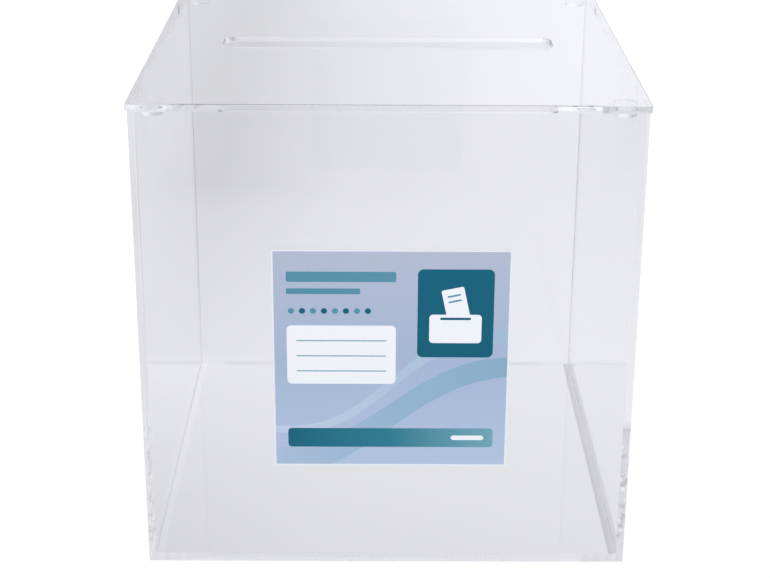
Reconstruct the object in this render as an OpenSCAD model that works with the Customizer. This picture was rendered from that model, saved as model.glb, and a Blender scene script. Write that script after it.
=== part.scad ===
// Clear acrylic ballot box: five flat sheets cemented into an open-topped box,
// and a loose lid with a posting slot, held in place by four discs that hang
// just inside the walls.
// Millimetres. +Z is up, the front faces -Y, and the origin is the centre of
// the base's underside.

/* [Box] */
// Width of the box over its side panels
box_w = 210; // [180:1:400]
// Depth of the box over its front and back panels
box_d = 210; // [140:1:400]
// Height from the ground to the top of the closed lid
box_h = 210; // [160:1:400]
// Thickness of the base and of the four walls
sheet_t = 3; // [2:0.5:6]

/* [Lid] */
// Thickness of the lid's sheet
lid_t = 3; // [2:0.5:6]
// How far the lid reaches past the walls on every side
lid_overhang = 1; // [0.5:0.25:4]
// Radius of the lid's four corners
lid_corner_r = 2; // [1:0.5:8]

/* [Posting slot] */
// Length of the slot, along the front
slot_l = 150; // [60:1:155]
// Width of the slot, front to back
slot_w = 20; // [12:0.5:40]
// Radius of the slot's four corners
slot_corner_r = 5; // [1:0.5:5.5]

/* [Locating discs] */
// Diameter of each disc under the lid
disc_d = 10; // [6:0.5:24]
// Thickness of each disc
disc_t = 3; // [1.5:0.5:8]
// Play between a disc and the two walls beside it
disc_play = 1; // [0.5:0.25:3]

/* [Label] */
// Width of the label on the front panel
label_w = 100; // [40:1:150]
// Height of the label
label_h = 100; // [40:1:100]
// Thickness of the label's film
label_t = 0.2; // [0.1:0.05:0.4]
// Height of the label's lower edge above the ground
label_rise = 48; // [10:1:50]
// How far the label's centre lies to the right of the box's centre
label_shift = 1.5; // [-10:0.5:10]

/* [Hidden] */

// Facets of a full circle
round_fn = 64;
// Clear acrylic seen against white
clear_acrylic = [0.90, 0.91, 0.94, 0.45];
// Pale printed film
label_colour = [0.80, 0.88, 0.93];

// The walls stand on the base and carry the lid
wall_bottom = sheet_t;
wall_top = box_h - lid_t;
wall_h = wall_top - wall_bottom;
// The side panels fit between the front and back panels
side_panel_l = box_d - 2 * sheet_t;
// How far a cutter runs past each face
cut_past = 1;
// Disc centres, measured from the box's centre
disc_x = box_w / 2 - sheet_t - disc_play - disc_d / 2;
disc_y = box_d / 2 - sheet_t - disc_play - disc_d / 2;

// A flat rectangle, centred, with round corners
module rounded_rectangle(length, width, corner_r) {
    square([length - 2 * corner_r, width], center = true);
    square([length, width - 2 * corner_r], center = true);
    for (x = [-1, 1], y = [-1, 1])
        translate([x * (length / 2 - corner_r), y * (width / 2 - corner_r)])
            circle(r = corner_r, $fn = round_fn);
}

// A sheet that stands on edge across the box; side is -1 at the front, 1 at the back
module cross_wall(side) {
    color(clear_acrylic)
        translate([-box_w / 2, side * (box_d - sheet_t) / 2 - sheet_t / 2, wall_bottom])
            cube([box_w, sheet_t, wall_h]);
}

// A sheet that stands between those two; side is -1 at the left, 1 at the right
module side_wall(side) {
    color(clear_acrylic)
        translate([side * (box_w - sheet_t) / 2 - sheet_t / 2, -side_panel_l / 2, wall_bottom])
            cube([sheet_t, side_panel_l, wall_h]);
}

// The sheet that the four walls stand on
module base_panel() {
    color(clear_acrylic)
        translate([-box_w / 2, -box_d / 2, 0])
            cube([box_w, box_d, sheet_t]);
}

module front_panel() {
    cross_wall(-1);
}

module back_panel() {
    cross_wall(1);
}

module left_panel() {
    side_wall(-1);
}

module right_panel() {
    side_wall(1);
}

// Printed film on the outside of the front panel
module front_label() {
    color(label_colour)
        translate([label_shift - label_w / 2, -box_d / 2 - label_t, label_rise])
            cube([label_w, label_t, label_h]);
}

// Flat lid that rests on the walls' top edges, with the slot through its middle
module lid_panel() {
    color(clear_acrylic)
        translate([0, 0, wall_top])
            difference() {
                linear_extrude(height = lid_t)
                    rounded_rectangle(box_w + 2 * lid_overhang, box_d + 2 * lid_overhang, lid_corner_r);
                translate([0, 0, -cut_past])
                    linear_extrude(height = lid_t + 2 * cut_past)
                        rounded_rectangle(slot_l, slot_w, slot_corner_r);
            }
}

// Disc cemented under a corner of the lid; x_side and y_side pick the corner
module locating_disc(x_side, y_side) {
    color(clear_acrylic)
        translate([x_side * disc_x, y_side * disc_y, wall_top - disc_t])
            cylinder(h = disc_t, d = disc_d, $fn = round_fn);
}

base_panel();
front_panel();
back_panel();
left_panel();
right_panel();
front_label();
lid_panel();
locating_disc(-1, -1);  // locating_disc_front_left
locating_disc(1, -1);  // locating_disc_front_right
locating_disc(-1, 1);  // locating_disc_back_left
locating_disc(1, 1);  // locating_disc_back_right
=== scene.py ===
# A clear acrylic ballot box with a loose slotted lid and a plain printed label.
# Metres. +Z is up and the front faces -Y, as in the frame.
import math

import bmesh
import bpy
from mathutils import Matrix, Vector
from mathutils.geometry import delaunay_2d_cdt


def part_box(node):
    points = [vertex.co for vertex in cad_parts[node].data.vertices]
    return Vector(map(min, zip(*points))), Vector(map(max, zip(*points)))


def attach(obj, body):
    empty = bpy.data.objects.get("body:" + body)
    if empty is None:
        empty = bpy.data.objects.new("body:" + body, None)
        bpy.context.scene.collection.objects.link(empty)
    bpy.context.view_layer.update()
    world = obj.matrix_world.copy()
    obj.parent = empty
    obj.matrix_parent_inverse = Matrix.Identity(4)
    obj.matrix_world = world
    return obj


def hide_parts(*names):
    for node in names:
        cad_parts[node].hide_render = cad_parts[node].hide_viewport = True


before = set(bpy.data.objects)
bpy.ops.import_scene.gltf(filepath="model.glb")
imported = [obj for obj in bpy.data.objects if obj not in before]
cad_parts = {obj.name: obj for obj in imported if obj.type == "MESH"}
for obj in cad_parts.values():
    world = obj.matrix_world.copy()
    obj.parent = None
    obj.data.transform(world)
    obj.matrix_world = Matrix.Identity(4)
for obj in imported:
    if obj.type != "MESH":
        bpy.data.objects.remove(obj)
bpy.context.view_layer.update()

MM = 0.001
# Numbers of a vector's axes
X, Y, Z = 0, 1, 2

# Sizes taken from the frame

BASE_LO, BASE_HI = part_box("base_panel")
FRONT_LO, FRONT_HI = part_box("front_panel")
BACK_LO, BACK_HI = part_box("back_panel")
LEFT_LO, LEFT_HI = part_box("left_panel")
RIGHT_LO, RIGHT_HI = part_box("right_panel")
LID_LO, LID_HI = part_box("lid_panel")
LABEL_LO, LABEL_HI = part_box("front_label")
DISC_NODES = [f"locating_disc_{end}_{side}" for end in ("front", "back") for side in ("left", "right")]
# Inner faces of the side walls, and of the front and back walls
INNER_X = LEFT_HI.x, RIGHT_LO.x
INNER_Y = FRONT_HI.y, BACK_LO.y

# Sizes of the finish

# Flat polished off every free edge of a sheet
ARRIS = 0.2 * MM
# Radius of the lid's four corners
LID_CORNER_R = 2 * MM
# Radius of the slot's four corners
SLOT_CORNER_R = 5 * MM
# Air between the loose lid and the walls, and the height where they end under it
LID_GAP = 0.06 * MM
WALL_TOP = FRONT_HI.z - LID_GAP
# Air between the label's adhesive and the front panel
LABEL_GAP = 0.02 * MM
# How far the stage's floor lies under the base
FLOOR_GAP = 0.25 * MM


# Node helpers

# Numbers of the Mix node's colour sockets
MIX_FIRST, MIX_SECOND, MIX_RESULT = 6, 7, 2
WHITE = (1.0, 1.0, 1.0, 1.0)


def node(tree, kind, inputs=None, **settings):
    """Adds a node, sets its properties, and sets or links its inputs by name or number."""
    made = tree.nodes.new(kind)
    for key, value in settings.items():
        setattr(made, key, value)
    for key, value in (inputs or {}).items():
        socket = made.inputs[key]
        if isinstance(value, bpy.types.NodeSocket):
            tree.links.new(value, socket)
        else:
            socket.default_value = value
    return made


def new_material(name):
    """A material with an empty node tree, as (material, tree)."""
    mat = bpy.data.materials.new(name)
    mat.use_nodes = True
    mat.node_tree.nodes.clear()
    return mat, mat.node_tree


def set_surface(tree, shader):
    """Makes a shader the surface of the tree's material."""
    node(tree, "ShaderNodeOutputMaterial", {"Surface": shader})


def own_place(tree):
    """Where a point lies on its object, in metres."""
    return node(tree, "ShaderNodeTexCoord").outputs["Object"]


def parts_of(tree, vector):
    """A vector's X, Y and Z, by name."""
    return node(tree, "ShaderNodeSeparateXYZ", {"Vector": vector}).outputs


def ray_is(tree, kind):
    """1 for one kind of ray, such as Camera or Shadow, and 0 for the others."""
    return node(tree, "ShaderNodeLightPath").outputs[f"Is {kind} Ray"]


def maths(tree, operation, a, b=0.0):
    """One Math node's result."""
    return node(tree, "ShaderNodeMath", {0: a, 1: b}, operation=operation).outputs[0]


def spread(tree, value, low, high, source=(0.0, 1.0)):
    """Maps a value from the source range to low and high, and holds it there."""
    ends = {"From Min": source[0], "From Max": source[1], "To Min": low, "To Max": high}
    return node(tree, "ShaderNodeMapRange", {"Value": value, **ends}).outputs[0]


def noise(tree, place, scale, detail):
    """A noise value from 0 to 1, at so many repeats per metre."""
    return node(tree, "ShaderNodeTexNoise", {"Vector": place, "Scale": scale, "Detail": detail}).outputs[0]


def relief(tree, heights, depth, strength=1.0):
    """A bumped normal, from heights between 0 and 1 and the relief's depth in metres."""
    inputs = {"Strength": strength, "Distance": depth, "Height": heights}
    return node(tree, "ShaderNodeBump", inputs).outputs[0]


def grey(value):
    """A neutral colour."""
    return (value, value, value, 1.0)


def srgb(red, green, blue):
    """A display colour from 0 to 255 as the linear colour that a shader takes."""
    def linear(value):
        share = value / 255
        return share / 12.92 if share <= 0.04045 else ((share + 0.055) / 1.055) ** 2.4
    return (linear(red), linear(green), linear(blue), 1.0)


def scaled(tree, colour, factor):
    """A colour times a factor."""
    return node(tree, "ShaderNodeVectorMath", {0: colour, "Scale": factor}, operation="SCALE").outputs[0]


def blended(tree, share, first, second):
    """Two colours mixed."""
    inputs = {0: share, MIX_FIRST: first, MIX_SECOND: second}
    return node(tree, "ShaderNodeMix", inputs, data_type="RGBA").outputs[MIX_RESULT]


def tones(tree, value, stops):
    """A colour ramp with the given (position, colour) stops, from 0 to 1."""
    ramp = node(tree, "ShaderNodeValToRGB", {0: value})
    elements = ramp.color_ramp.elements
    for position, _ in stops[len(elements):]:
        elements.new(position)
    for element, (position, colour) in zip(elements, stops):
        element.position = position
        element.color = colour
    return ramp.outputs[0]


def stops_between(pairs, ends, colour):
    """Ramp stops from (place, value) pairs, whose places lie between two ends. colour is a kind of grey."""
    return [((place - ends[0]) / (ends[1] - ends[0]), colour(value)) for place, value in pairs]


def ends_of(pairs):
    """The first and the last place of (place, value) pairs."""
    return pairs[0][0], pairs[-1][0]


def clear_shader(tree, colour):
    """A see-through shader, whose colour is the share of the light that it lets through."""
    return node(tree, "ShaderNodeBsdfTransparent", {"Color": colour}).outputs[0]


def emission(tree, colour, strength=1.0):
    """A shader that shines by itself."""
    return node(tree, "ShaderNodeEmission", {"Color": colour, "Strength": strength}).outputs[0]


def mixed_shaders(tree, share, first, second):
    """Two shaders mixed."""
    return node(tree, "ShaderNodeMixShader", {0: share, 1: first, 2: second}).outputs[0]


# Acrylic

ACRYLIC_IOR = 1.49
FACE_TINT = (0.990, 0.990, 0.993, 1.0)
EDGE_TINT = (0.965, 0.968, 0.976, 1.0)
# Lowest and highest roughness, where a surface is clean and where it is handled
FACE_GLOSS = 0.0, 0.018
EDGE_GLOSS = 0.07, 0.16
# Smudges: repeats per metre, detail, and the noise values from clean to handled
SMUDGE_SCALE = 26.0
SMUDGE_DETAIL = 4.0
SMUDGE_RANGE = 0.5, 0.8
# The cast sheet's ripple and the saw marks on an edge: repeats per metre and depth, and their detail
RIPPLE_SCALE = 14.0
RIPPLE_DEPTH = 0.02 * MM
SAW_SCALE = 900.0
SAW_DEPTH = 0.006 * MM
RELIEF_DETAIL = 1.0
# Share of a lamp's light that one face lets through
LAMP_SHARE = 0.97
# Share of the light that a cemented joint lets through, and that the joint under the right wall does, which
# is darker there as painted shade
CEMENT_SHARE = 0.998
PAINTED_SHADE_SHARE = 0.985
# Marks where the cement has run in the front's upright joints: repeats per metre, detail, noise values from
# none to a full mark, share of the light let through, and heights between which they fade out at both ends
MARK_SCALE = 330.0
MARK_DETAIL = 2.0
MARK_RANGE = 0.53, 0.60
MARK_SHARE = 0.76
MARK_TOP = 60 * MM, 70 * MM
MARK_FOOT = 4 * MM, 6 * MM


def acrylic_material(name, tint, gloss, relief_scale, relief_depth):
    """Clear cast acrylic, with faint smudges in its gloss and a faint relief."""
    mat, tree = new_material(name)
    place = own_place(tree)
    smudges = noise(tree, place, SMUDGE_SCALE, SMUDGE_DETAIL)
    heights = noise(tree, place, relief_scale, RELIEF_DETAIL)
    glass = node(
        tree,
        "ShaderNodeBsdfPrincipled",
        {
            "Base Color": tint,
            "Roughness": spread(tree, smudges, *gloss, SMUDGE_RANGE),
            "IOR": ACRYLIC_IOR,
            "Transmission Weight": 1.0,
            "Normal": relief(tree, heights, relief_depth),
        },
    ).outputs[0]
    # Shadow rays pass straight through, so that the lamp reaches what stands behind a sheet
    clear = clear_shader(tree, grey(LAMP_SHARE))
    set_surface(tree, mixed_shaders(tree, ray_is(tree, "Shadow"), glass, clear))
    return mat


def cement_material(name, share):
    """Solvent cement between two sheets, which lets a share of the light through."""
    mat, tree = new_material(name)
    set_surface(tree, clear_shader(tree, grey(share)))
    return mat


def marked_cement_material(name):
    """Clear cement with small dark runs in the lower part of an upright joint."""
    mat, tree = new_material(name)
    place = own_place(tree)
    height = parts_of(tree, place)["Z"]
    under_top = spread(tree, height, 1.0, 0.0, MARK_TOP)
    over_foot = spread(tree, height, 0.0, 1.0, MARK_FOOT)
    runs = spread(tree, noise(tree, place, MARK_SCALE, MARK_DETAIL), 0.0, 1.0, MARK_RANGE)
    marked = maths(tree, "MULTIPLY", runs, maths(tree, "MULTIPLY", under_top, over_foot))
    share = spread(tree, marked, CEMENT_SHARE, MARK_SHARE)
    colour = node(tree, "ShaderNodeCombineColor", {0: share, 1: share, 2: share}).outputs[0]
    set_surface(tree, clear_shader(tree, colour))
    return mat


FACE = acrylic_material("acrylic_face", FACE_TINT, FACE_GLOSS, RIPPLE_SCALE, RIPPLE_DEPTH)
CEMENT = cement_material("cement_joint", CEMENT_SHARE)
# The joint under the right wall, darkened as painted shade
PAINTED_SHADE_CEMENT = cement_material("cement_painted_shade", PAINTED_SHADE_SHARE)
MARKED_CEMENT = marked_cement_material("cement_marked")
EDGE = acrylic_material("acrylic_edge", EDGE_TINT, EDGE_GLOSS, SAW_SCALE, SAW_DEPTH)
# A sheet's materials in the order of their numbers. Only the base has the joint with painted shade.
SHEET_MATERIALS = FACE, CEMENT, EDGE
FACE_INDEX, CEMENT_INDEX, EDGE_INDEX, PAINTED_SHADE_INDEX = 0, 1, 2, 3


# Outlines

CORNER_STEPS = 8
CIRCLE_STEPS = 48
# A rectangle's corners as signs of x and y, in the order of the quarter turns at which their arcs start
CORNER_SIGNS = (1, 1), (-1, 1), (-1, -1), (1, -1)


def rounded_outline(length, width, corner_r):
    """Points round a rectangle with round corners, centred, as (x, y)."""
    points = []
    for quarter, (side_x, side_y) in enumerate(CORNER_SIGNS):
        x, y = side_x * (length / 2 - corner_r), side_y * (width / 2 - corner_r)
        for step in range(CORNER_STEPS + 1):
            angle = math.pi / 2 * (quarter + step / CORNER_STEPS)
            points.append((x + corner_r * math.cos(angle), y + corner_r * math.sin(angle)))
    return points


def circle_outline(x, y, radius):
    """Points round a circle."""
    turn = math.tau / CIRCLE_STEPS
    return [(x + radius * math.cos(turn * i), y + radius * math.sin(turn * i)) for i in range(CIRCLE_STEPS)]


def inside(point, outline):
    """True if a point lies in a closed outline."""
    x, y = point
    found = False
    for (x0, y0), (x1, y1) in zip(outline, outline[1:] + outline[:1]):
        if (y0 > y) != (y1 > y) and x < x0 + (y - y0) * (x1 - x0) / (y1 - y0):
            found = not found
    return found


def between(value, ends):
    """True if a value lies between two ends."""
    return ends[0] < value < ends[1]


# Mesh helpers

# Distance within which two points count as one: in a test, in a weld, and in a layer of triangles
SAME_PLACE = 0.001 * MM
WELD_GAP = 0.0001 * MM
TRIANGLE_GAP = 0.000001 * MM
# A face looks along an axis if its normal has at least this much of it
FACING = 0.9
# Asks for every triangle within the hull of the points
ALL_TRIANGLES = 0


def add_object(name, data):
    """A new object in the scene."""
    made = bpy.data.objects.new(name, data)
    bpy.context.scene.collection.objects.link(made)
    return made


def mesh_object(bm, name, materials):
    """Turns a bmesh into an object with the given materials."""
    mesh = bpy.data.meshes.new(name)
    bm.to_mesh(mesh)
    bm.free()
    for mat in materials:
        mesh.materials.append(mat)
    return add_object(name, mesh)


def finish_piece(bm, name, materials, body, node_name):
    """Turns a bmesh into a piece with the given materials, which rides a body and stands in for a node that
    it hides.
    """
    bmesh.ops.recalc_face_normals(bm, faces=bm.faces)
    piece = mesh_object(bm, name, materials)
    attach(piece, body)
    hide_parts(node_name)


def edge_lies(edge, fixed):
    """True if both ends of an edge have the given coordinates, as {axis: value}."""
    return all(abs(v.co[axis] - value) < SAME_PLACE for v in edge.verts for axis, value in fixed.items())


def box_mesh(lo, hi, polished, cuts=()):
    """A closed box with an arris along its polished edges, and with its faces cut along planes.

    An edge is given as {axis: value}, and a plane as (axis, value).
    """
    bm = bmesh.new()
    matrix = Matrix.Translation((lo + hi) / 2) @ Matrix.Diagonal((*(hi - lo), 1.0))
    bmesh.ops.create_cube(bm, size=1.0, matrix=matrix)
    edges = [e for e in bm.edges if any(edge_lies(e, fixed) for fixed in polished)]
    bmesh.ops.bevel(bm, geom=edges, offset=ARRIS, segments=1, affect="EDGES")
    for axis, value in cuts:
        point, normal = Vector(), Vector()
        point[axis] = value
        normal[axis] = 1.0
        everything = bm.verts[:] + bm.edges[:] + bm.faces[:]
        bmesh.ops.bisect_plane(bm, geom=everything, plane_co=point, plane_no=normal)
    return bm


def mark_faces(bm, thin_axis, cement_at):
    """Gives cement to the faces that a joint covers, and the edge finish to a sheet's narrow faces.

    thin_axis runs across the sheet. cement_at gives a cement's number by a face's centre and normal, or
    None where there is no joint.
    """
    bm.normal_update()
    for face in bm.faces:
        cement = cement_at(face.calc_center_median(), face.normal)
        if cement is not None:
            face.material_index = cement
        elif abs(face.normal[thin_axis]) < FACING:
            face.material_index = EDGE_INDEX


def add_flat(bm, outlines, place, choose):
    """Adds a flat layer of triangles between outlines.

    place puts a point of the outlines in space. choose gives the material's number for a triangle's middle,
    or None for a hole.
    """
    points = [Vector(p) for outline in outlines for p in outline]
    edges = []
    start = 0
    for outline in outlines:
        count = len(outline)
        edges += [(start + i, start + (i + 1) % count) for i in range(count)]
        start += count
    points, _, faces, *_ = delaunay_2d_cdt(points, edges, [], ALL_TRIANGLES, TRIANGLE_GAP)
    verts = [bm.verts.new(place(p)) for p in points]
    for face in faces:
        index = choose(sum((points[i] for i in face), Vector((0, 0))) / len(face))
        if index is not None:
            bm.faces.new([verts[i] for i in face]).material_index = index


def at_height(z):
    """Lays the points of outlines flat at a height."""
    return lambda point: (point.x, point.y, z)


def add_wall(bm, rings):
    """Joins rings of as many points, each as (outline, z), with a band of faces."""
    loops = [[bm.verts.new((x, y, z)) for x, y in outline] for outline, z in rings]
    for low, high in zip(loops, loops[1:]):
        for i in range(len(low)):
            j = (i + 1) % len(low)
            bm.faces.new((low[i], low[j], high[j], high[i])).material_index = EDGE_INDEX


# Box

def base_panel():
    """The sheet that the walls stand on."""
    def cement_at(centre, normal):
        between_cross_panels = between(centre.y, INNER_Y)
        if normal.z < FACING or (between_cross_panels and between(centre.x, INNER_X)):
            return None
        # Under the right wall the joint takes the painted shade
        return PAINTED_SHADE_INDEX if between_cross_panels and centre.x > INNER_X[1] else CEMENT_INDEX

    ends_x, ends_y = (BASE_LO.x, BASE_HI.x), (BASE_LO.y, BASE_HI.y)
    polished = [{Z: BASE_LO.z, Y: y} for y in ends_y] + [{Z: BASE_LO.z, X: x} for x in ends_x]
    polished += [{X: x, Y: y} for x in ends_x for y in ends_y]
    bm = box_mesh(BASE_LO, BASE_HI, polished, [(X, x) for x in INNER_X] + [(Y, y) for y in INNER_Y])
    mark_faces(bm, Z, cement_at)
    finish_piece(bm, "clear_base", (*SHEET_MATERIALS, PAINTED_SHADE_CEMENT), "box", "base_panel")


def cross_panel(name, node_name, lo, hi, inward, cement):
    """The front or back sheet, which covers the side panels' edges. inward is the sign of Y into the box."""
    def cement_at(centre, normal):
        on_side_panel = normal.y * inward > FACING and not between(centre.x, INNER_X)
        return CEMENT_INDEX if normal.z < -FACING or on_side_panel else None

    outer_y = lo.y if inward > 0 else hi.y
    polished = [{X: x, Y: outer_y} for x in (lo.x, hi.x)]
    polished += [{Z: WALL_TOP, Y: outer_y}] + [{Z: WALL_TOP, X: x} for x in (lo.x, hi.x)]
    bm = box_mesh(lo, Vector((hi.x, hi.y, WALL_TOP)), polished, [(X, x) for x in INNER_X])
    mark_faces(bm, Y, cement_at)
    finish_piece(bm, name, (FACE, cement, EDGE), "box", node_name)


def side_panel(name, node_name, lo, hi, inward):
    """A sheet between the front and back panels. inward is the sign of X into the box."""
    def cement_at(centre, normal):
        return CEMENT_INDEX if normal.z < -FACING or abs(normal.y) > FACING else None

    outer_x = lo.x if inward > 0 else hi.x
    bm = box_mesh(lo, Vector((hi.x, hi.y, WALL_TOP)), [{Z: WALL_TOP, X: outer_x}])
    mark_faces(bm, X, cement_at)
    finish_piece(bm, name, SHEET_MATERIALS, "box", node_name)


base_panel()
cross_panel("clear_front", "front_panel", FRONT_LO, FRONT_HI, 1, MARKED_CEMENT)
cross_panel("clear_back", "back_panel", BACK_LO, BACK_HI, -1, CEMENT)
side_panel("clear_left_side", "left_panel", LEFT_LO, LEFT_HI, 1)
side_panel("clear_right_side", "right_panel", RIGHT_LO, RIGHT_HI, -1)


# Lid

def slot_size():
    """The slot's length and width, from the points of the frame's lid that lie inside its rim."""
    points = [v.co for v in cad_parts["lid_panel"].data.vertices]
    rim_x, rim_y = LID_HI.x - LID_CORNER_R, LID_HI.y - LID_CORNER_R
    slot = [p for p in points if abs(p.x) < rim_x and abs(p.y) < rim_y]
    return 2 * max(abs(p.x) for p in slot), 2 * max(abs(p.y) for p in slot)


def disc_circle(node_name):
    """The centre and radius of a disc in the frame, as (x, y, radius)."""
    lo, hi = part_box(node_name)
    return (lo.x + hi.x) / 2, (lo.y + hi.y) / 2, (hi.x - lo.x) / 2


def lid_panel():
    """The lid: a sheet with a posting slot, and four patches under it where the discs are cemented."""
    size = LID_HI - LID_LO
    slot_length, slot_width = slot_size()
    discs = [circle_outline(*disc_circle(name)) for name in DISC_NODES]

    def rim(inset):
        return rounded_outline(size.x - 2 * inset, size.y - 2 * inset, LID_CORNER_R - inset)

    def slot(outset):
        return rounded_outline(slot_length + 2 * outset, slot_width + 2 * outset, SLOT_CORNER_R + outset)

    edge, hole = rim(ARRIS), slot(ARRIS)

    def above(middle):
        return None if inside(middle, hole) else FACE_INDEX

    def below(middle):
        return CEMENT_INDEX if any(inside(middle, disc) for disc in discs) else above(middle)

    bm = bmesh.new()
    # Heights, each with how far the arris cuts into the sheet there
    levels = (LID_LO.z, ARRIS), (LID_LO.z + ARRIS, 0.0), (LID_HI.z - ARRIS, 0.0), (LID_HI.z, ARRIS)
    add_wall(bm, [(rim(arris), z) for z, arris in levels])
    add_wall(bm, [(slot(arris), z) for z, arris in levels])
    add_flat(bm, [edge, hole], at_height(LID_HI.z), above)
    add_flat(bm, [edge, hole, *discs], at_height(LID_LO.z), below)
    bmesh.ops.remove_doubles(bm, verts=bm.verts, dist=WELD_GAP)
    finish_piece(bm, "clear_lid", SHEET_MATERIALS, "lid", "lid_panel")


def locating_disc(node_name):
    """A disc whose top is cemented to the lid."""
    lo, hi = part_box(node_name)
    x, y, radius = disc_circle(node_name)
    foot = circle_outline(x, y, radius - ARRIS)
    side = circle_outline(x, y, radius)
    bm = bmesh.new()
    add_wall(bm, [(foot, lo.z), (side, lo.z + ARRIS), (side, hi.z)])
    add_flat(bm, [foot], at_height(lo.z), lambda middle: FACE_INDEX)
    add_flat(bm, [side], at_height(hi.z), lambda middle: CEMENT_INDEX)
    bmesh.ops.remove_doubles(bm, verts=bm.verts, dist=WELD_GAP)
    finish_piece(bm, "clear_" + node_name, SHEET_MATERIALS, "lid", node_name)


lid_panel()
for disc_node in DISC_NODES:
    locating_disc(disc_node)


# Label

LABEL_ENDS = {"X": (LABEL_LO.x, LABEL_HI.x), "Z": (LABEL_LO.z, LABEL_HI.z)}
LABEL_CENTRE = (LABEL_LO.x + LABEL_HI.x) / 2, (LABEL_LO.z + LABEL_HI.z) / 2
# Width of the pale border
BORDER = 0.7 * MM
# The print's grain: repeats per metre, its lowest and highest noise value, and the factor on the ink's
# tone and the roughness at those two
GRAIN_SCALE = 1500.0
GRAIN_RANGE = 0.3, 0.7
GRAIN_TONE = 0.98, 1.02
GRAIN_GLOSS = 0.36, 0.50
# The film's slight unevenness: repeats per metre, strength and depth
FILM_SCALE = 60.0
FILM_STRENGTH = 0.4
FILM_DEPTH = 0.02 * MM
# Detail of the grain and of the unevenness
PRINT_DETAIL = 2.0
# Strength of the film's mirror gloss
FILM_GLOSS = 0.2

# Inks as (name, axis of the gradient, colours from its low end to its high end).
# The first is the bare backing.
INKS = [
    ("backing", "Z", [(247, 248, 250), (249, 250, 251)]),
    ("ground", "Z", [(178, 195, 220), (165, 183, 209), (180, 188, 208)]),
    ("border", "Z", [(229, 235, 242), (232, 237, 243)]),
    ("wave", "X", [(170, 191, 215), (150, 180, 205), (135, 172, 196)]),
    ("wave_light", "X", [(190, 206, 226), (176, 197, 218), (160, 188, 208)]),
    ("dark", "Z", [(4, 88, 112), (3, 97, 122)]),
    ("bar", "X", [(6, 95, 119), (42, 122, 142), (118, 170, 184)]),
    ("rule", "X", [(83, 142, 164), (90, 148, 170)]),
    ("white", "Z", [(238, 241, 245), (242, 244, 247)]),
]

# The print is laid out in millimetres and degrees, with x and z from the label's centre.
# Ruled lines: count, height of the first, and the step down to the next
RULES = 3
FIRST_RULE_Z = 9.0
RULE_STEP = 7.0
# Plates, topmost first: ink, width, height, corner radius, x, z, turn
PLATES = [
    # A slip of paper going into a box, on a dark ground
    ("dark", 13.0, 1.1, 0.5, 27.0, 19.2, 0.0),
    ("rule", 5.6, 0.8, 0.3, 26.2, 29.6, 12.0),
    ("rule", 5.6, 0.8, 0.3, 26.7, 27.2, 12.0),
    ("white", 9.6, 14.0, 0.8, 27.0, 26.0, 12.0),
    ("white", 22.0, 13.0, 1.6, 27.0, 14.6, 0.0),
    ("dark", 32.0, 40.0, 2.4, 27.0, 21.5, 0.0),
    # A white field with ruled lines
    *[("rule", 38.0, 0.45, 0.2, -21.0, FIRST_RULE_Z - i * RULE_STEP, 0.0) for i in range(RULES)],
    ("white", 46.0, 27.0, 2.0, -21.0, 2.5, 0.0),
    # Two plain bars at the top
    ("rule", 46.0, 4.6, 0.8, -21.0, 38.0, 0.0),
    ("rule", 31.0, 2.6, 0.6, -28.5, 31.5, 0.0),
    # A graded bar at the foot, with a small white one on it
    ("white", 14.0, 2.2, 1.1, 33.0, -36.5, 0.0),
    ("bar", 88.0, 9.0, 1.6, 0.0, -36.5, 0.0),
]
# The row of dots: count, inks by turns, radius, spacing, and the first dot's place
DOTS = 8
DOT_INKS = "rule", "dark"
DOT_R = 1.3
DOT_STEP = 4.6
DOT_AT = -42.0, 22.6
# Waves that sweep over the ground: ink, height at the left edge, rise, width at both ends, length of a swell
WAVES = [
    ("wave_light", -34.0, 46.0, (3.0, 7.0), 96.0),
    ("wave", -46.0, 40.0, (15.0, 9.0), 120.0),
]
# Height of the waves' swell, how far they run past the label's edges, and their steps
WAVE_SWELL = 7.0
WAVE_OVERRUN = 1.0
WAVE_STEPS = 28


def placed(outline, x, z, turn=0.0):
    """An outline in metres, turned and moved to its place on the label."""
    cosine, sine = math.cos(math.radians(turn)), math.sin(math.radians(turn))
    x, z = LABEL_CENTRE[0] + x * MM, LABEL_CENTRE[1] + z * MM
    return [(x + cosine * px - sine * pz, z + sine * px + cosine * pz) for px, pz in outline]


def wave_outline(start, rise, widths, swell_length):
    """A band that sweeps up to the right in a slow swell and runs past both edges of the label."""
    reach = (LABEL_HI.x - LABEL_LO.x) / MM + 2 * WAVE_OVERRUN
    low, high = [], []
    for step in range(WAVE_STEPS + 1):
        share = step / WAVE_STEPS
        x = (share - 0.5) * reach
        z = start + rise * share + WAVE_SWELL * math.sin(math.tau * x / swell_length)
        half = (widths[0] + (widths[1] - widths[0]) * share) / 2
        low.append((x * MM, (z - half) * MM))
        high.append((x * MM, (z + half) * MM))
    return placed(low + high[::-1], 0.0, 0.0)


def label_shapes():
    """The print's shapes, topmost first, as (ink, outline)."""
    shapes = []
    for ink, width, height, corner_r, x, z, turn in PLATES:
        shapes.append((ink, placed(rounded_outline(width * MM, height * MM, corner_r * MM), x, z, turn)))
    dot = circle_outline(0.0, 0.0, DOT_R * MM)
    for i in range(DOTS):
        shapes.append((DOT_INKS[i % len(DOT_INKS)], placed(dot, DOT_AT[0] + i * DOT_STEP, DOT_AT[1])))
    return shapes + [(ink, wave_outline(*wave)) for ink, *wave in WAVES]


def label_outline(inset):
    """The label's outline, drawn in by an inset."""
    (x0, x1), (z0, z1) = [(low + inset, high - inset) for low, high in LABEL_ENDS.values()]
    return [(x0, z0), (x1, z0), (x1, z1), (x0, z1)]


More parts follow.
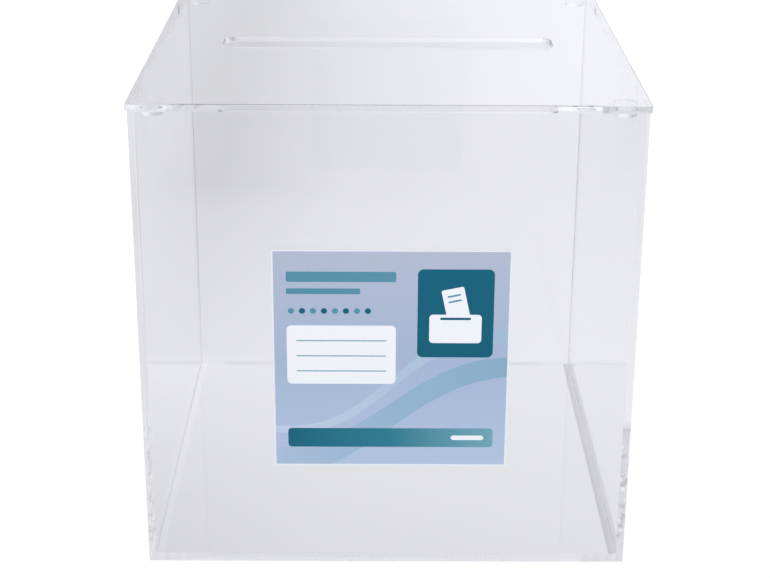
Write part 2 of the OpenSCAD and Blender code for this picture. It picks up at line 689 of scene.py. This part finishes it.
def ink_material(name, axis, colours):
    """Printed film: a colour graded over the label, with a fine grain and a satin face."""
    mat, tree = new_material("print_" + name)
    place = own_place(tree)
    along = spread(tree, parts_of(tree, place)[axis], 0.0, 1.0, LABEL_ENDS[axis])
    colour = tones(tree, along, [(i / (len(colours) - 1), srgb(*tone)) for i, tone in enumerate(colours)])
    grain = noise(tree, place, GRAIN_SCALE, PRINT_DETAIL)
    heights = noise(tree, place, FILM_SCALE, PRINT_DETAIL)
    film = node(
        tree,
        "ShaderNodeBsdfPrincipled",
        {
            "Base Color": scaled(tree, colour, spread(tree, grain, *GRAIN_TONE, GRAIN_RANGE)),
            "Roughness": spread(tree, grain, *GRAIN_GLOSS, GRAIN_RANGE),
            "Specular IOR Level": FILM_GLOSS,
            "Normal": relief(tree, heights, FILM_DEPTH, FILM_STRENGTH),
        },
    ).outputs[0]
    set_surface(tree, film)
    return mat


def front_label():
    """The film on the front panel. The inks are regions of its front face, and the rest is backing."""
    names = [name for name, *_ in INKS]
    shapes = label_shapes()
    edge, inner = label_outline(0.0), label_outline(BORDER)

    def ink_at(middle):
        if not inside(middle, edge):
            return None
        if not inside(middle, inner):
            return names.index("border")
        return names.index(next((ink for ink, outline in shapes if inside(middle, outline)), "ground"))

    bm = bmesh.new()
    outlines = [edge, inner] + [outline for _, outline in shapes]
    add_flat(bm, outlines, lambda point: (point.x, LABEL_LO.y, point.y), ink_at)
    bmesh.ops.delete(bm, geom=[v for v in bm.verts if not v.link_faces], context="VERTS")
    rim = [e for e in bm.edges if e.is_boundary]
    grown = bmesh.ops.extrude_edge_only(bm, edges=rim)["geom"]
    for vert in (g for g in grown if isinstance(g, bmesh.types.BMVert)):
        vert.co.y = LABEL_HI.y - LABEL_GAP
    bmesh.ops.holes_fill(bm, edges=[e for e in bm.edges if e.is_boundary], sides=0)
    materials = [ink_material(*ink) for ink in INKS]
    finish_piece(bm, "printed_label", materials, "box", "front_label")


front_label()


# Stage

# Half of the floor's width
STAGE_HALF = 12.0
# Slight lavender cast of the greys that the acrylic shows of the stage
CAST = (0.995, 1.0, 1.045)
# Tone where the floor and the world meet, and the distances between which the floor fades into it
HORIZON_TONE = 0.79
FADE = 1.3, 4.0
# The floor's painted light and shade from front to back, as (Y, tone), at its darker left side and at its
# lighter right side, and the Y where their ramps start and end
FLOOR_LEFT = [
    (-0.45, 0.79), (-0.13, 0.62), (-0.05, 0.70), (0.02, 0.775),
    (0.10, 0.845), (0.125, 0.765), (0.36, 0.70), (0.42, 0.635),
]
FLOOR_RIGHT = [
    (-0.45, 0.82), (-0.13, 0.75), (-0.05, 0.80), (0.05, 0.835),
    (0.10, 0.86), (0.125, 0.855), (0.36, 0.845), (0.42, 0.835),
]
FLOOR_Y = -0.45, 0.55
# How far the floor has turned from its left tone to its right tone, as (X, share)
FLOOR_TURN = [(-0.20, 0.45), (-0.148, 0.0), (-0.12, 0.0), (-0.03, 0.68), (0.12, 1.0)]
# Shadow on the floor along the right wall's foot, as (distance in from its inner face, factor on the tone)
FOOT_SHADOW = [(-0.8 * MM, 1.0), (0.0, 0.76), (1.2 * MM, 0.72), (2.4 * MM, 0.66), (3.0 * MM, 1.0)]
# The left wall has a faint light line instead, which is this share of it
LEFT_LINE_SHARE = 0.22
# Length over which the line along a wall's foot fades out at the wall's ends
SHADOW_END = 1.5 * MM
# The world's tones at the left and at the right, as (Z of the direction, tone).
# The lid mirrors those near 0.25. Their ramps run from level to straight up.
LEFT_TONES = [(0.0, HORIZON_TONE), (0.22, 0.50), (0.30, 0.52), (0.42, 0.69), (0.6, 0.71), (1.0, 0.88)]
RIGHT_TONES = [(0.0, HORIZON_TONE), (0.22, 1.05), (0.30, 1.04), (0.42, 0.77), (0.6, 0.80), (1.0, 0.88)]
WORLD_Z = 0.0, 1.0
# How far the world has turned from its left tones to its right tones, as (X of the direction, share)
WORLD_TURN = [(-0.24, 0.0), (0.12, 1.0), (0.40, 1.0), (0.75, 0.25)]
# Light that the floor sends to the camera by itself, and the tone of its paint, which takes the
# lamp's light and the box's shadow
FLOOR_GLOW = 0.74
FLOOR_PAINT = 0.34
# The lamp: strength, the angle that it spans in degrees, and the direction that it shines from
KEY_ENERGY = 1.0
KEY_ANGLE = 35.0
KEY_FROM = Vector((-0.35, -0.8, 0.6))


def cast_grey(value):
    """A grey with the stage's slight cast."""
    return (value * CAST[0], value * CAST[1], value * CAST[2], 1.0)


def turned_greys(tree, across, turn, along, ends, left, right):
    """Greys that run along one way, and turn across it from the left tones to the right ones."""
    turn_ends = ends_of(turn)
    share = tones(tree, spread(tree, across, 0.0, 1.0, turn_ends), stops_between(turn, turn_ends, grey))
    run = spread(tree, along, 0.0, 1.0, ends)
    sides = [tones(tree, run, stops_between(side, ends, cast_grey)) for side in (left, right)]
    return blended(tree, share, *sides)


def foot_shadows(tree, parts):
    """Factor on the floor's tone along the feet of the right and left walls, from 1 for none."""
    ends = ends_of(FOOT_SHADOW)
    stops = stops_between(FOOT_SHADOW, ends, grey)

    def loss(inward):
        return maths(tree, "SUBTRACT", 1.0, tones(tree, spread(tree, inward, 0.0, 1.0, ends), stops))

    right = loss(maths(tree, "SUBTRACT", INNER_X[1], parts["X"]))
    left = loss(maths(tree, "SUBTRACT", parts["X"], INNER_X[0]))
    both = maths(tree, "SUBTRACT", right, maths(tree, "MULTIPLY", left, LEFT_LINE_SHARE))
    wall_end = INNER_Y[1], INNER_Y[1] + SHADOW_END
    within = spread(tree, maths(tree, "ABSOLUTE", parts["Y"]), 1.0, 0.0, wall_end)
    return maths(tree, "SUBTRACT", 1.0, maths(tree, "MULTIPLY", both, within))


def floor_material():
    """White paint with the object's shadow to the camera, and soft greys of painted light and shade where
    the acrylic shows it.
    """
    mat, tree = new_material("stage_floor")
    place = own_place(tree)
    parts = parts_of(tree, place)
    # Painted light and shade on the floor: darker on the left, lighter on the right, with a painted shadow
    # along the right wall's foot and a painted light line along the left one
    painted_light_and_shade = turned_greys(tree, parts["X"], FLOOR_TURN, parts["Y"], FLOOR_Y, FLOOR_LEFT, FLOOR_RIGHT)
    shaded = scaled(tree, painted_light_and_shade, foot_shadows(tree, parts))
    distance = node(tree, "ShaderNodeVectorMath", {0: place}, operation="LENGTH").outputs["Value"]
    greys = blended(tree, spread(tree, distance, 0.0, 1.0, FADE), shaded, cast_grey(HORIZON_TONE))
    glow = emission(tree, WHITE, FLOOR_GLOW)
    paint = node(tree, "ShaderNodeBsdfDiffuse", {"Color": grey(FLOOR_PAINT)}).outputs[0]
    white = node(tree, "ShaderNodeAddShader", {0: glow, 1: paint}).outputs[0]
    set_surface(tree, mixed_shaders(tree, ray_is(tree, "Camera"), emission(tree, greys), white))
    return mat


def stage_floor():
    """The plain pale floor."""
    bm = bmesh.new()
    bmesh.ops.create_grid(bm, x_segments=1, y_segments=1, size=STAGE_HALF)
    bmesh.ops.translate(bm, verts=bm.verts, vec=(0.0, 0.0, -FLOOR_GAP))
    mesh_object(bm, "stage_floor", [floor_material()])


def stage_world():
    """A plain white world to the camera, and soft greys by direction where the acrylic shows it."""
    world = bpy.data.worlds.new("studio")
    bpy.context.scene.world = world
    world.use_nodes = True
    tree = world.node_tree
    tree.nodes.clear()
    parts = parts_of(tree, node(tree, "ShaderNodeTexCoord").outputs["Generated"])
    greys = turned_greys(tree, parts["X"], WORLD_TURN, parts["Z"], WORLD_Z, LEFT_TONES, RIGHT_TONES)
    seen = blended(tree, ray_is(tree, "Camera"), greys, WHITE)
    light = node(tree, "ShaderNodeBackground", {"Color": seen, "Strength": 1.0}).outputs[0]
    node(tree, "ShaderNodeOutputWorld", {"Surface": light})


def key_lamp():
    """A broad soft lamp in front, which the acrylic doesn't mirror."""
    data = bpy.data.lights.new("key_lamp", "SUN")
    data.energy = KEY_ENERGY
    data.angle = math.radians(KEY_ANGLE)
    lamp = add_object("key_lamp", data)
    lamp.rotation_euler = KEY_FROM.to_track_quat("Z", "Y").to_euler()
    lamp.visible_glossy = False
    lamp.visible_transmission = False


stage_floor()
stage_world()
key_lamp()


# Camera

# The photograph's width and focal length, in its own pixels
PHOTO_W = 770
FOCAL_PX = 1683.0
SENSOR_MM = 36.0
# Place of the lens, in metres, with its distance in front of the front panel
CAMERA_AT = Vector((-0.0039, FRONT_LO.y - 0.6499, 0.3949))
# How the camera is turned, in degrees: down from level, to the right, and about its own line of sight
LEVEL = 90.0
CAMERA_PITCH = 20.824
CAMERA_YAW = 0.232
CAMERA_ROLL = 0.304
# Share of the picture's width by which the view is shifted
CAMERA_SHIFT = -0.05
# Nearest and farthest distance that the camera sees
CLIP = 0.01, 50.0


def photo_camera():
    """The photograph's camera: it looks down at the front of the box."""
    data = bpy.data.cameras.new("photo_camera")
    data.sensor_width = SENSOR_MM
    data.lens = FOCAL_PX / PHOTO_W * SENSOR_MM
    data.shift_y = CAMERA_SHIFT
    data.clip_start, data.clip_end = CLIP
    camera = add_object("photo_camera", data)
    turn = (
        Matrix.Rotation(math.radians(-CAMERA_YAW), 4, "Z")
        @ Matrix.Rotation(math.radians(LEVEL - CAMERA_PITCH), 4, "X")
        @ Matrix.Rotation(math.radians(CAMERA_ROLL), 4, "Z")
    )
    camera.matrix_world = Matrix.Translation(CAMERA_AT) @ turn
    bpy.context.scene.camera = camera


photo_camera()


# Rendering

# A sheet guides light along its length, so paths bounce many times and cross many cemented joints
BOUNCES = 48
CLEAR_BOUNCES = 64

scene = bpy.context.scene
scene.view_settings.view_transform = "Standard"
scene.cycles.max_bounces = BOUNCES
scene.cycles.glossy_bounces = BOUNCES
scene.cycles.transmission_bounces = BOUNCES
scene.cycles.transparent_max_bounces = CLEAR_BOUNCES
